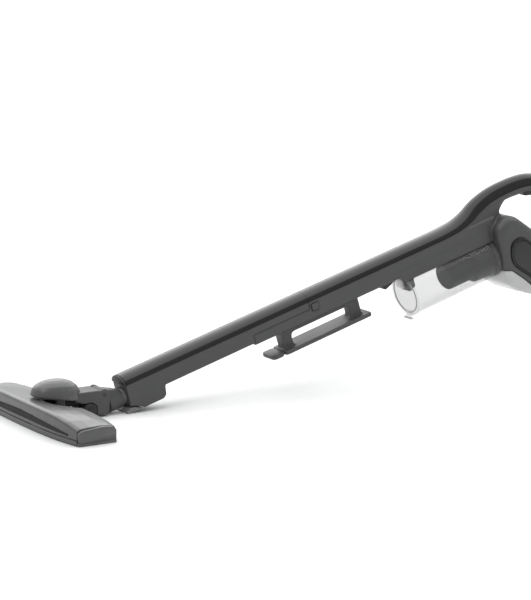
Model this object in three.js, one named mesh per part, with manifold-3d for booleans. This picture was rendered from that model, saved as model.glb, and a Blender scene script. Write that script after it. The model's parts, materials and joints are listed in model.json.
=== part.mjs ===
// A slim stick vacuum cleaner: a hand unit with a looped handle, a motor pod and a clear dust cup,
// a detachable tube below it, and a floor head on a jointed neck. Millimetres, +Z up.
//
// World frame: the origin is the centre of the floor head's sole, +X runs from the head towards the handle.
// Stick frame: the tube and the hand unit are drawn in a frame of their own, whose x axis (called u) runs up
// the tube, whose z axis (called v) is square to it, and whose v = 0 plane is the seam between the domed cap
// and the side walls.
import * as THREE from 'three';
import { mergeVertices } from 'three/addons/utils/BufferGeometryUtils.js';
import Module from 'manifold-3d';

const wasm = await Module();
wasm.setup();

// ---------------------------------------------------------------------------------------- driving dimensions
const GAP = 0.3;                                     // clearance between pieces that touch
const STICK_ORIGIN = new THREE.Vector3(139.3, 0, 50);
const STICK_ANGLE = THREE.MathUtils.degToRad(16.68);

const HEAD = { half: 173, frontEnd: -36, bow: 14, rear: 30, rearBow: 10, sole: 4.6, wall: 2.2 };
const NOTCH = { front: -15, half: 46, floor: 16.4, corner: 26 };
const HOOD = { x: 12, front: 40, rear: 46, half: 27.5, base: 43, slope: 0.15, top: 67.5, wall: 2.4 };
const FLOAT_PIVOT = { x: 14, z: 52, r: 3 };          // the head tilts on the neck here
const PITCH_PIVOT = { x: 92, z: 36, r: 3 };          // the tube folds up on the neck here
const WHEEL = { x: 66, z: 12.6, r: 12.4, width: 8, y: 17 };

const SPINE = { half: 22.5, dome: 14, wall: 2.4 };   // section shared by the tube and the hand unit
const TUBE = { front: -8.5, lap: 239, seam: 355.6, spigot: 398, depth: 29, corner: 6 };
const COUPLER = { v: -22, r: 13.8, bore: 11.2, front: -36, rear: 24 };
const BODY = { seam: 356, depth: 33, corner: 7, end: 762 };
const AIRWAY = { half: 16, top: -5, bottom: -23, corner: 5 };
const WINDER = { left: 296, right: 459, leg: 20, legHalf: 10, plateLeft: 291.6, plateRight: 473,
  plateHalf: 22, plateTop: -65.2, plateBottom: -72.4, railBottom: -42 };
const CUP = { v: -73, r: 38, wall: 1.8, front: 561, rear: 746.6 };
const FILTER = { r: 24.2, front: 646, rear: 728 };
const POD = { front: 748, half: 45, round: 13, wall: 2.6 };
const MOTOR = { r: 30, front: 766, rear: 822 };

// ------------------------------------------------------------------------------------------------- materials
const plastic = (color, roughness) => new THREE.MeshStandardMaterial({ color, roughness, metalness: 0 });
const metal = (color, roughness) => new THREE.MeshStandardMaterial({ color, roughness, metalness: 1 });
const MATTE = plastic(0x3c3c3c, 0.55);
const GLOSS = plastic(0x161616, 0.15);
const SATIN = plastic(0x5c5c5e, 0.35);
const DARK = plastic(0x222222, 0.6);
const GREY = plastic(0x7a7a7a, 0.45);
const RUBBER = plastic(0x181818, 0.85);
const CLEAR = plastic(0xdfe3e6, 0.08);
const SMOKE = plastic(0xc9ccce, 0.2);
const STEEL = metal(0x9a9a9c, 0.35);
const PAPER = plastic(0xe6e2d8, 0.9);
const BOARD = plastic(0x2f5a3a, 0.6);

// --------------------------------------------------------------------------------------------------- solids
function bare(geometry, tolerance = 1e-4) {
  const copy = geometry.index ? geometry.toNonIndexed() : geometry.clone();
  for (const name of Object.keys(copy.attributes)) {
    if (name !== 'position') copy.deleteAttribute(name);
  }
  const welded = mergeVertices(copy, tolerance);
  const index = Array.from(welded.index.array);
  const kept = [];
  for (let i = 0; i < index.length; i += 3) {
    const [a, b, c] = index.slice(i, i + 3);
    if (a !== b && b !== c && c !== a) kept.push(a, b, c);
  }
  welded.setIndex(kept);
  return welded;
}

function toSolid(geometry) {
  const welded = bare(geometry);
  const solid = new wasm.Manifold(new wasm.Mesh({
    numProp: 3,
    vertProperties: new Float32Array(welded.attributes.position.array),
    triVerts: new Uint32Array(welded.index.array),
  }));
  return solid;
}

function toGeometry(solid) {
  const mesh = solid.getMesh();
  const geometry = new THREE.BufferGeometry();
  geometry.setAttribute('position', new THREE.BufferAttribute(new Float32Array(mesh.vertProperties), 3));
  geometry.setIndex(new THREE.BufferAttribute(new Uint32Array(mesh.triVerts), 1));
  return geometry;
}

function join(first, ...others) {
  return toGeometry(others.reduce((sum, other) => sum.add(toSolid(other)), toSolid(first)));
}

function cut(body, ...tools) {
  return toGeometry(tools.reduce((rest, tool) => rest.subtract(toSolid(tool)), toSolid(body)));
}

function common(body, ...tools) {
  return toGeometry(tools.reduce((rest, tool) => rest.intersect(toSolid(tool)), toSolid(body)));
}

// --------------------------------------------------------------------------------------- outlines and sweeps
const point = (x, y) => new THREE.Vector2(x, y);

function arc(cx, cy, rx, ry, from, to, steps) {
  const points = [];
  for (let i = 0; i <= steps; i += 1) {
    const angle = THREE.MathUtils.degToRad(from + ((to - from) * i) / steps);
    points.push(point(cx + rx * Math.cos(angle), cy + ry * Math.sin(angle)));
  }
  return points;
}

// A polygon whose corners are rounded to the radius given with each corner: [x, y, radius].
function rounded(corners, steps = 3) {
  const points = [];
  corners.forEach(([x, y, radius = 0], i) => {
    const [px, py] = corners[(i + corners.length - 1) % corners.length];
    const [nx, ny] = corners[(i + 1) % corners.length];
    if (radius === 0) {
      points.push(point(x, y));
      return;
    }
    const before = point(px - x, py - y).normalize();
    const after = point(nx - x, ny - y).normalize();
    const half = Math.acos(THREE.MathUtils.clamp(before.dot(after), -1, 1)) / 2;
    const reach = radius / Math.tan(half);
    const curve = new THREE.QuadraticBezierCurve(
      point(x + before.x * reach, y + before.y * reach),
      point(x, y),
      point(x + after.x * reach, y + after.y * reach),
    );
    points.push(...curve.getPoints(steps));
  });
  return points;
}

const box2 = (x0, x1, y0, y1, radius = 0) => rounded([
  [x0, y0, radius], [x1, y0, radius], [x1, y1, radius], [x0, y1, radius],
]);

function extrude(points, depth, bevel, segments) {
  const options = { depth: depth - 2 * bevel, bevelEnabled: bevel > 0, steps: 1 };
  if (bevel > 0) {
    Object.assign(options, {
      bevelThickness: bevel, bevelSize: bevel, bevelOffset: -bevel, bevelSegments: segments,
    });
  }
  const solid = new THREE.ExtrudeGeometry(new THREE.Shape(points), options);
  return solid.translate(0, 0, bevel);
}

// An outline drawn in the side view (x, z), swept from y0 to y1.
function alongY(points, y0, y1, bevel = 0, segments = 2) {
  return extrude(points, y1 - y0, bevel, segments).rotateX(Math.PI / 2).translate(0, y1, 0);
}

const across = (points, half, bevel = 0, segments = 2) => alongY(points, -half, half, bevel, segments);

// A section drawn as (y, z), swept from x0 to x1.
const SECTION_TO_X = new THREE.Matrix4().makeBasis(
  new THREE.Vector3(0, 1, 0), new THREE.Vector3(0, 0, 1), new THREE.Vector3(1, 0, 0),
);

function alongX(points, x0, x1, bevel = 0) {
  return extrude(points, x1 - x0, bevel, 2).applyMatrix4(SECTION_TO_X).translate(x0, 0, 0);
}

// A plan drawn as (x, y), raised from z0 to z1.
const upwards = (points, z0, z1, bevel = 0) => extrude(points, z1 - z0, bevel, 2).translate(0, 0, z0);

// A round piece turned about an axis parallel to x at height z; profile points are [x, radius].
function turned(profile, z, segments = 28) {
  const points = profile.map(([x, r]) => point(r, x));
  points.push(points[0].clone());
  return new THREE.LatheGeometry(points, segments).rotateZ(-Math.PI / 2).translate(0, 0, z);
}

const tubeX = (x0, x1, z, outer, inner, segments = 28) => turned(
  [[x0, inner], [x0, outer], [x1, outer], [x1, inner]], z, segments,
);

const rodX = (x0, x1, z, radius, segments = 24) => new THREE.CylinderGeometry(
  radius, radius, x1 - x0, segments,
).rotateZ(Math.PI / 2).translate((x0 + x1) / 2, 0, z);

const rodY = (x, z, y0, y1, radius, segments = 20) => new THREE.CylinderGeometry(
  radius, radius, y1 - y0, segments,
).translate(x, (y0 + y1) / 2, z);

function tubeY(x, z, y0, y1, outer, inner, segments = 24) {
  const ring = [point(inner, y0), point(outer, y0), point(outer, y1), point(inner, y1), point(inner, y0)];
  return new THREE.LatheGeometry(ring, segments).translate(x, 0, z);
}

// A closed skin over sections that all have the same number of points. Each section is an outline with a
// function that puts an outline point in space.
function loft(given) {
  const reverse = THREE.ShapeUtils.isClockWise(given[0].outline);
  const sections = given.map(({ outline, place }) => ({
    outline: reverse ? outline.toReversed() : outline, place,
  }));
  const count = sections[0].outline.length;
  const positions = [];
  const index = [];
  for (const { outline, place } of sections) {
    for (const p of outline) positions.push(...place(p).toArray());
  }
  for (let s = 0; s < sections.length - 1; s += 1) {
    for (let i = 0; i < count; i += 1) {
      const a = s * count + i;
      const b = s * count + ((i + 1) % count);
      index.push(a, b, a + count, b, b + count, a + count);
    }
  }
  const last = (sections.length - 1) * count;
  for (const [a, b, c] of THREE.ShapeUtils.triangulateShape(sections[0].outline, [])) {
    index.push(a, c, b);
  }
  for (const [a, b, c] of THREE.ShapeUtils.triangulateShape(sections[sections.length - 1].outline, [])) {
    index.push(last + a, last + b, last + c);
  }
  const geometry = new THREE.BufferGeometry();
  geometry.setAttribute('position', new THREE.Float32BufferAttribute(positions, 3));
  geometry.setIndex(index);
  return toSolid(geometry).volume() < 0 ? flipped(geometry) : geometry;
}

// The same piece on the other side of the y = 0 plane.
const mirrored = (geometry) => flipped(bare(geometry).scale(1, -1, 1));

function flipped(geometry) {
  const index = Array.from(geometry.index.array);
  for (let i = 0; i < index.length; i += 3) [index[i], index[i + 1]] = [index[i + 1], index[i]];
  const copy = geometry.clone();
  copy.setIndex(index);
  return copy;
}

// ---------------------------------------------------------------------------------------------- scene graph
const vacuum = new THREE.Group();
const stick = new THREE.Group();
stick.position.copy(STICK_ORIGIN);
stick.rotation.y = -STICK_ANGLE;
vacuum.add(stick);

function add(parent, name, geometry, material) {
  const mesh = new THREE.Mesh(bare(geometry, 0.01), material);
  mesh.name = name;
  parent.add(mesh);
  return mesh;
}

const onFloor = (name, geometry, material) => add(vacuum, name, geometry, material);
const onStick = (name, geometry, material) => add(stick, name, geometry, material);

// ------------------------------------------------------------------------------------------------ floor head
// The front edge bows forward between the two ends.
const frontAt = (y) => HEAD.frontEnd - HEAD.bow * (1 - Math.abs(y / HEAD.half) ** 3);
const rearAt = (y) => HEAD.rear + HEAD.rearBow * (1 - Math.abs(y / HEAD.half) ** 4);
const crownAt = (y) => 1 - Math.abs(y / HEAD.half) ** 4;
const HEAD_STEPS = 12;

function headPlan(inset, half) {
  const places = Array.from({ length: HEAD_STEPS + 1 }, (_, i) => half - (2 * half * i) / HEAD_STEPS);
  return [
    ...places.toReversed().map((y) => point(rearAt(y) - inset, y)),
    ...places.map((y) => point(frontAt(y) + inset, y)),
  ];
}

const MOUTH = { front: -36, rear: -14, half: 140 };
const BRISTLE = { gap: 1.2, width: 3, height: 4.2 };
const ROLLER = { x: -22, y: 155, r: 5, width: 8 };
const PITCH_REACH = 60;

function makeHead() {
  const mouth = upwards(box2(MOUTH.front, MOUTH.rear, -MOUTH.half, MOUTH.half, 3), -1, 9);
  const grooves = [MOUTH.front - BRISTLE.gap - BRISTLE.width, MOUTH.rear + BRISTLE.gap].map((x) => upwards(
    box2(x - GAP, x + BRISTLE.width + GAP, -MOUTH.half - GAP, MOUTH.half + GAP), -1, BRISTLE.height + GAP,
  ));
  const rollerPockets = [-1, 1].map((side) => upwards(box2(
    ROLLER.x - ROLLER.r - 1, ROLLER.x + ROLLER.r + 1,
    side * ROLLER.y - ROLLER.width / 2 - 1, side * ROLLER.y + ROLLER.width / 2 + 1,
  ), -1, 9));
  const sole = join(
    upwards(headPlan(0.6, HEAD.half - 0.4), 0, HEAD.sole),
    cut(upwards(headPlan(-0.6, HEAD.half - 6), 1, 8.6), upwards(headPlan(2, HEAD.half - 5), 0, 9)),
  );
  const lip = cut(sole, mouth, ...grooves, ...rollerPockets);
  onFloor('sole_plate', cut(lip, upwards(box2(-20, 60, -HEAD.half, HEAD.half), HEAD.sole, 12)), GREY);

  ['front', 'rear'].forEach((name, i) => {
    const x = i === 0 ? MOUTH.front - BRISTLE.gap - BRISTLE.width : MOUTH.rear + BRISTLE.gap;
    onFloor(`bristle_strip_${name}`, upwards(
      box2(x, x + BRISTLE.width, -MOUTH.half, MOUTH.half), 0.1, BRISTLE.height,
    ), DARK);
  });

  [['left', -1], ['right', 1]].forEach(([name, side]) => {
    const y = side * ROLLER.y;
    onFloor(`roller_${name}`, rodY(ROLLER.x, ROLLER.r + 0.1, y - ROLLER.width / 2, y + ROLLER.width / 2,
      ROLLER.r, 20), RUBBER);
    onFloor(`end_cap_${name}`, endCap(side), SATIN);
  });
  onFloor('head_cover', headCover(), SATIN);
  onFloor('bumper_strip', bumperStrip(), RUBBER);
}

function endCap(side) {
  const z0 = HEAD.sole + GAP;
  const outline = rounded([
    [HEAD.frontEnd + 0.4, z0], [HEAD.rear - 0.4, z0], [HEAD.rear - 0.4, 21, 2], [22, 26.2, 3],
    [8, 27.8, 8], [-30, 24.6, 5], [HEAD.frontEnd - 1, 20.5, 2],
  ]);
  const inner = HEAD.half - 5.2;
  return side > 0 ? alongY(outline, inner, HEAD.half, 1) : alongY(outline, -HEAD.half, -inner, 1);
}

// The cover's section at one place across the head: front wall, sloping top and rear wall.
function coverSection(y, inset) {
  const crown = crownAt(y);
  const front = frontAt(y) + inset;
  const rear = rearAt(y) - inset;
  const floor = inset > 0 ? 5 : 9;
  return [
    point(front, floor),
    point(front - 0.6, 20 + 17 * crown - inset),
    point(front + 2, 23 + 17 * crown - inset),
    point(front + 7, 25 + 16 * crown - inset),
    point(-14, 26.6 + 11.4 * crown - inset),
    point(8, 27.8 + 6 * crown - inset),
    point(20, 27 + 3.5 * crown - inset),
    point(rear - 3, 25 + 2 * crown - inset),
    point(rear, 20.5 + 2 * crown - inset),
    point(rear, floor),
  ];
}

function coverSolid(inset, half) {
  const sections = [];
  for (let i = 0; i <= HEAD_STEPS; i += 1) {
    const y = -half + (2 * half * i) / HEAD_STEPS;
    sections.push({ outline: coverSection(y, inset), place: (p) => new THREE.Vector3(p.x, y, p.y) });
  }
  return loft(sections);
}

// The bumper lies in a slot in the front wall, highest at the middle and tapering to both ends.
const BUMPER = { recess: 1.2, depth: 2.6, half: 147, bottom: 13, end: 15, sag: 2, rise: 10 };

function bumperBand(recess, depth, grow) {
  const outline = [];
  const half = BUMPER.half + grow;
  for (let i = 0; i <= HEAD_STEPS; i += 1) {
    const y = -half + (2 * half * i) / HEAD_STEPS;
    outline.push(point(y, BUMPER.bottom - grow + BUMPER.sag * (1 - (y / half) ** 2)));
  }
  for (let i = HEAD_STEPS; i >= 0; i -= 1) {
    const y = -half + (2 * half * i) / HEAD_STEPS;
    outline.push(point(y, BUMPER.end + grow + BUMPER.rise * (1 - (y / half) ** 2)));
  }
  const wall = cut(
    upwards(headPlan(recess, HEAD.half - 2), 8, 34),
    upwards(headPlan(recess + depth, HEAD.half - 1), 7, 35),
  );
  return common(wall, alongX(outline, -80, -30));
}

const bumperStrip = () => bumperBand(BUMPER.recess, BUMPER.depth, 0);
const bumperSlot = () => bumperBand(-4, 4 + BUMPER.recess + BUMPER.depth + GAP, GAP);
const bumperRib = () => bumperBand(HEAD.wall - 0.7, 4.3, 1.6);

// The scoop behind the hood, open to the rear, in which the neck and its wheels swing.
const notchSpace = (wall) => upwards(rounded([
  [NOTCH.front - wall, -NOTCH.half - wall, NOTCH.corner], [60, -NOTCH.half - wall],
  [60, NOTCH.half + wall], [NOTCH.front - wall, NOTCH.half + wall, NOTCH.corner],
], 5), NOTCH.floor - wall, 70);

function headCover() {
  const shellHalf = HEAD.half - 5.5;
  const lugs = [-1, 1].map((side) => {
    const outline = rounded([
      [FLOAT_PIVOT.x - 9, NOTCH.floor - 1], [FLOAT_PIVOT.x + 9, NOTCH.floor - 1],
      [FLOAT_PIVOT.x + 6.5, FLOAT_PIVOT.z + 6, 5], [FLOAT_PIVOT.x - 6.5, FLOAT_PIVOT.z + 6, 5],
    ]);
    return side > 0 ? alongY(outline, 13, 18) : alongY(outline, -18, -13);
  });
  const outer = coverSolid(0, shellHalf);
  const tray = common(outer, notchSpace(HEAD.wall));
  const shell = cut(
    join(cut(outer, coverSolid(HEAD.wall, shellHalf - 2)), tray, bumperRib()),
    notchSpace(0), bumperSlot(), rodX(NOTCH.front - 4, NOTCH.front + 4, HOSE.front.z, HOSE.port),
  );
  return cut(join(shell, ...lugs), rodY(FLOAT_PIVOT.x, FLOAT_PIVOT.z, -20, 20, FLOAT_PIVOT.r + 0.05));
}

// ------------------------------------------------------------------------------------------------------ neck
const hoodBaseAt = (x) => HOOD.base - HOOD.slope * (x - HOOD.x + HOOD.front);

function hoodSolid(inset) {
  const sections = [];
  const levels = 6;
  for (let level = 0; level <= levels; level += 1) {
    const rise = Math.sin((level / levels) * (Math.PI / 2) * 0.985);
    const shrink = (1 - rise ** 2.4) ** (1 / 2.4);
    const outline = [];
    const around = 24;
    for (let i = 0; i < around; i += 1) {
      const angle = (2 * Math.PI * i) / around;
      const c = Math.cos(angle);
      const s = Math.sin(angle);
      const reach = (c > 0 ? HOOD.rear : HOOD.front) - inset;
      outline.push(point(
        HOOD.x + Math.sign(c) * Math.abs(c) ** 0.86 * reach * shrink,
        Math.sign(s) * Math.abs(s) ** 0.86 * (HOOD.half - inset) * shrink,
      ));
    }
    const below = level === 0 && inset > 0 ? 1 : 0;
    sections.push({ outline, place: (p) => {
      const base = hoodBaseAt(p.x);
      return new THREE.Vector3(p.x, p.y, base + (HOOD.top - inset - base) * rise - below);
    } });
  }
  return loft(sections);
}

const NECK = { half: 20, top: 44.5, front: 38, ear: 14.2, earRadius: 10 };
const WHEEL_WELL = { r: WHEEL.r + 1.2, half: WHEEL.width / 2 + 0.8 };
// The port in the head is wider than the hose, for the head's tilt.
const HOSE = { front: new THREE.Vector3(-8, 0, 27), reach: 6, r: 7.8, bore: 6.2, port: 10 };

function makeNeck() {
  const neckSpace = across(box2(NECK.front - GAP, 104, 12, NECK.top + GAP), NECK.half + GAP);
  const slot = upwards(arc(49, 0, 5, 6.5, 0, 330, 11), 42, 72);
  onFloor('hood', cut(hoodSolid(0), hoodSolid(HOOD.wall), neckSpace, slot), SATIN);

  const deck = across(rounded([
    [NECK.front, 30], [50, 26.5, 3], [78, 20], [102, 20], [102, 32], [84, NECK.top, 4],
    [NECK.front, NECK.top],
  ]), NECK.half, 2);
  const leg = across(rounded([[80, 3, 2], [101, 3, 2], [102, 25], [78, 25]]), NECK.half, 1);
  const axleBlock = across(rounded([[57, 5.5, 3], [75, 5.5, 3], [77, 28], [55, 28]]), 10.5);
  const arm = across(rounded([
    [14, 46], [30, 43], [NECK.front + 2, 36], [NECK.front + 2, 45], [30, 53], [14, 57],
  ]), 12.2);
  const barrel = rodY(FLOAT_PIVOT.x, FLOAT_PIVOT.z, -12.2, 12.2, 7.5);
  const ears = rodY(PITCH_PIVOT.x, PITCH_PIVOT.z, -NECK.half, NECK.half, NECK.earRadius);
  const down = THREE.MathUtils.degToRad(-74);
  const pocket = across([
    point(PITCH_PIVOT.x, PITCH_PIVOT.z),
    point(PITCH_PIVOT.x + PITCH_REACH * Math.cos(down), PITCH_PIVOT.z + PITCH_REACH * Math.sin(down)),
    point(150, -25), point(150, 75), point(PITCH_PIVOT.x, 75),
  ], NECK.ear);
  const neck = cut(
    join(deck, leg, axleBlock, arm, barrel, ears),
    pocket,
    rodY(PITCH_PIVOT.x, PITCH_PIVOT.z, -NECK.ear, NECK.ear, NECK.earRadius + 0.4),
    rodY(PITCH_PIVOT.x, PITCH_PIVOT.z, -30, 30, PITCH_PIVOT.r + 0.05),
    rodY(FLOAT_PIVOT.x, FLOAT_PIVOT.z, -20, 20, FLOAT_PIVOT.r + 0.05),
    rodY(WHEEL.x, WHEEL.z, -30, 30, 2.6),
    ...[-1, 1].map((side) => rodY(WHEEL.x, WHEEL.z, side * WHEEL.y - WHEEL_WELL.half,
      side * WHEEL.y + WHEEL_WELL.half, WHEEL_WELL.r, 28)),
    hoseSolid(HOSE.port, HOSE.reach),
  );
  onFloor('neck_shell', neck, MATTE);
  onFloor('float_pin', rodY(FLOAT_PIVOT.x, FLOAT_PIVOT.z, -18, 18, FLOAT_PIVOT.r), STEEL);
  onFloor('pitch_pin', rodY(PITCH_PIVOT.x, PITCH_PIVOT.z, -NECK.half, NECK.half, PITCH_PIVOT.r), STEEL);
  onFloor('neck_hose', cut(hoseSolid(HOSE.r), hoseSolid(HOSE.bore, HOSE.reach)), RUBBER);
  onFloor('rear_axle', rodY(WHEEL.x, WHEEL.z, -22.5, 22.5, 2.5), STEEL);
  [['left', -1], ['right', 1]].forEach(([name, side]) => {
    const y = side * WHEEL.y;
    onFloor(`rear_wheel_${name}`, tubeY(WHEEL.x, WHEEL.z, y - WHEEL.width / 2, y + WHEEL.width / 2,
      WHEEL.r, 2.6), RUBBER);
  });
}

// The flexible hose between the head and the neck's knuckle; the bore for it is a wider, longer copy.
function hoseSolid(radius, reach = 0) {
  const path = new THREE.CatmullRomCurve3([
    HOSE.front.clone().add(new THREE.Vector3(-reach, 0, 0)), new THREE.Vector3(24, 0, 27),
    new THREE.Vector3(62, 0, 25), new THREE.Vector3(80, 0, 20),
    new THREE.Vector3(98 + reach, 0, 11 - reach / 3),
  ]);
  return new THREE.ExtrudeGeometry(new THREE.Shape(arc(0, 0, radius, radius, 0, 330, 11)), {
    extrudePath: path, steps: 9,
  });
}

// The knuckle carries the coupler in a sleeve that lies along the stick, below its pivot.
function makeKnuckle() {
  const pivot = new THREE.Vector3(PITCH_PIVOT.x, 0, PITCH_PIVOT.z).sub(STICK_ORIGIN);
  pivot.applyAxisAngle(new THREE.Vector3(0, 1, 0), STICK_ANGLE);
  const web = across([
    point(pivot.x, pivot.z + 9), point(-20, -6), point(-16, -14), point(-16, -24),
    point(-41, -24), point(pivot.x + 2, pivot.z - 8.8),
  ], 13.2, 1.5);
  const sleeve = rodX(-42, -15.5, COUPLER.v, 16.6, 28);
  const barrel = rodY(pivot.x, pivot.z, -13.2, 13.2, 9.6);
  const knuckle = cut(
    join(sleeve, web, barrel),
    rodX(COUPLER.front - GAP, -10, COUPLER.v, COUPLER.r + GAP, 28),
    rodX(-60, -30, COUPLER.v, 9.5),
    rodY(pivot.x, pivot.z, -20, 20, PITCH_PIVOT.r + 0.05),
  );
  onStick('knuckle', knuckle, MATTE);
  onStick('coupler', cut(
    rodX(COUPLER.front, COUPLER.rear, COUPLER.v, COUPLER.r, 28),
    rodX(COUPLER.front - 1, COUPLER.rear + 1, COUPLER.v, COUPLER.bore, 28),
  ), GREY);
  onStick('coupler_seal', tubeX(COUPLER.rear + GAP, COUPLER.rear + 3, COUPLER.v, COUPLER.r, COUPLER.bore),
    RUBBER);
}

// ------------------------------------------------------------------------------------------------------ tube
function domeBand(half, height, wall, lift = 0.15) {
  return [
    ...arc(0, lift, half, height, 0, 180, 10),
    ...arc(0, lift, half - wall, height - wall, 180, 0, 10),
  ];
}

const domeFull = (half, height, lift = 0.15) => arc(0, lift, half, height, 0, 180, 10);

const wallSection = (half, top, bottom, radius) => rounded([
  [half, top], [half, bottom, radius], [-half, bottom, radius], [-half, top],
]);

const airwaySection = () => rounded([
  [AIRWAY.half, AIRWAY.top, AIRWAY.corner], [AIRWAY.half, AIRWAY.bottom, AIRWAY.corner],
  [-AIRWAY.half, AIRWAY.bottom, AIRWAY.corner], [-AIRWAY.half, AIRWAY.top, AIRWAY.corner],
]);

const TUBE_BUTTON = { front: 360, rear: 374, top: -6, bottom: -18, proud: 1 };
// The head's release is the tube end's lower front corner. Its lip clears the knuckle when it is pressed.
const LATCH_OUTLINE = [
  [-20, -42, 1], [-20, -46, 1.5], [-15.5, -48.6, 2], [10, -48.6], [10, -47.4], [-7, -39.4], [-14.8, -39.4],
  [-14.8, -42],
];
const LAP_EDGE = -12.9;

function makeTube() {
  onStick('tube_cap', alongX(domeBand(SPINE.half, SPINE.dome, SPINE.wall), TUBE.front, TUBE.seam), GLOSS);
  onStick('tube_end_cap', alongX(domeFull(SPINE.half - 0.4, SPINE.dome - 0.4), TUBE.front - 3.4,
    TUBE.front - GAP, 0.8), DARK);

  const main = alongX(wallSection(SPINE.half, -0.15, -TUBE.depth, TUBE.corner), TUBE.front, TUBE.lap);
  const lap = join(
    alongX(box2(-SPINE.half, SPINE.half, LAP_EDGE, -0.15), TUBE.lap - 1, TUBE.seam),
    alongX(wallSection(20.2, -2, -26.2, 4), TUBE.lap - 1, TUBE.seam - 1),
  );
  const spigot = alongX(box2(-19.4, 19.4, -25.4, -2.6, 4), TUBE.seam - 4, TUBE.spigot);
  const catches = [-1, 1].map((side) => alongY(box2(
    TUBE_BUTTON.front - 1, TUBE_BUTTON.rear + 1, TUBE_BUTTON.bottom - 1, TUBE_BUTTON.top + 1,
  ), side * 20.5 - 2.8, side * 20.5 + 2.8));
  const endBox = across(rounded([
    [TUBE.front - 2, -0.6], [TUBE.front - 2, -48.5, 5], [51, -48.5, 4], [57, -44, 4], [60, -26], [60, -0.6],
  ]), SPINE.half - 0.02, 2);
  const shell = cut(
    join(main, lap, spigot, endBox),
    alongX(airwaySection(), 20, TUBE.spigot + 5),
    rodX(TUBE.front - 6, COUPLER.rear + 4, COUPLER.v, COUPLER.r + GAP + 0.1, 28),
    latchSpace(),
    ...catches,
  );
  onStick('tube_shell', shell, MATTE);
  onStick('tube_seal', cut(
    alongX(box2(-19.4, 19.4, -25.4, -2.6, 4), TUBE.spigot + GAP, TUBE.spigot + 3),
    alongX(airwaySection(), TUBE.spigot - 5, TUBE.spigot + 9),
  ), RUBBER);
  onStick('head_release_button', across(rounded(LATCH_OUTLINE), SPINE.half - 0.3), GREY);
}

// Room for the head's release button, at rest and pressed.
const latchSpace = () => across([
  point(TUBE.front - 14, -60), point(12, -60), point(12, -46.2), point(-6.6, -37.2),
  point(TUBE.front - 14, -37.2),
], 40);

// ------------------------------------------------------------------------------------------------- hand unit
// The seam between cap and shell: straight along the spine, up the arm, over the grip and down to the pod.
const HANDLE_PATH = new THREE.CatmullRomCurve3([
  [640, 0], [668, 0.6], [692, 2.5], [717, 8.5], [744, 20], [772, 26.5], [800, 28.5], [830, 28], [858, 23.5],
  [882, 12], [900, -6], [911, -30], [913, -56], [906, -83], [892, -106], [876, -122],
].map(([u, v]) => new THREE.Vector3(u, 0, v)), false, 'centripetal');
const HANDLE_STEPS = 20;
const HANDLE_END = 0.985;
const GRIP_START = 0.42;

const smooth = (t) => THREE.MathUtils.smoothstep(t, 0, 1);
const capHalf = (t) => THREE.MathUtils.lerp(SPINE.half, 17, smooth(t / GRIP_START));
const capRise = (t) => THREE.MathUtils.lerp(SPINE.dome, 19, smooth(t / 0.4));
const capHeight = (t) => capRise(t) - 2.5 * smooth((t - 0.5) / 0.5);
const gripDepth = (t) => THREE.MathUtils.lerp(14, 15.5, smooth(t / 0.5));

// Stations along the handle path from one fraction of its length to another; outline y is square to the path.
function alongHandle(from, to, outlineAt) {
  const sections = [];
  for (let i = 0; i <= HANDLE_STEPS; i += 1) {
    const t = from + ((to - from) * i) / HANDLE_STEPS;
    const at = HANDLE_PATH.getPointAt(t);
    const along = HANDLE_PATH.getTangentAt(t);
    const up = new THREE.Vector3(-along.z, 0, along.x);
    sections.push({
      outline: outlineAt(t),
      place: (p) => at.clone().addScaledVector(up, p.y).add(new THREE.Vector3(0, p.x, 0)),
    });
  }
  return loft(sections);
}

const POD_OUTLINE = (grow = 0) => rounded([
  [POD.front - grow, -18 + grow, 18], [776, -2 + grow, 18], [796 + grow, -10 + grow, 34],
  [853 + grow, -76 + grow, 20], [880 + grow, -108, 22], [880 + grow, -146 - grow, 24],
  [846, -167 - grow, 20], [806, -167 - grow, 20], [770 - grow, -144 - grow, 26],
  [POD.front - grow, -122 - grow, 16],
], 5);

const GLAND_V = -144;
const VENT = [
  [761, -86, 34], [769, -49, 18], [795, -45, 22], [853, -112, 20], [847, -135, 28], [822, -153, 18],
];
const VENT_RING = 0.88;

function shrunk(corners, factor) {
  const u = corners.reduce((sum, c) => sum + c[0], 0) / corners.length;
  const v = corners.reduce((sum, c) => sum + c[1], 0) / corners.length;
  return corners.map(([x, y, r]) => [u + (x - u) * factor, v + (y - v) * factor, r * factor]);
}

function exhaustRegion(shift) {
  return across([
    point(POD.front - 6, -94 - shift), point(760, -99 - shift), point(780 - shift, -121 - shift),
    point(800 - shift, -147 - shift), point(812 - shift, -184), point(POD.front - 6, -184),
  ], 60);
}

function makeHandUnit() {
  const capBand = alongHandle(0, HANDLE_END, (t) => domeBand(capHalf(t), capHeight(t), SPINE.wall));
  const cap = join(
    capBand,
    alongX(domeBand(SPINE.half, SPINE.dome, SPINE.wall), BODY.seam, 640.5),
  );
  onStick('hand_cap', cut(cap, across(POD_OUTLINE(GAP), 44)), GLOSS);

  const left = common(handShell(), alongY(box2(200, 1000, -260, 80), -100, -GAP / 2));
  onStick('hand_shell_left', left, MATTE);
  onStick('hand_shell_right', mirrored(left), MATTE);
  onStick('vent_cover_left', ventCover(), DARK);
  onStick('vent_cover_right', mirrored(ventCover()), DARK);
  onStick('vent_ring_left', ventRing(), GLOSS);
  onStick('vent_ring_right', mirrored(ventRing()), GLOSS);
}

function podSolid(grow) {
  return across(POD_OUTLINE(grow), POD.half + grow, POD.round, 3);
}

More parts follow.
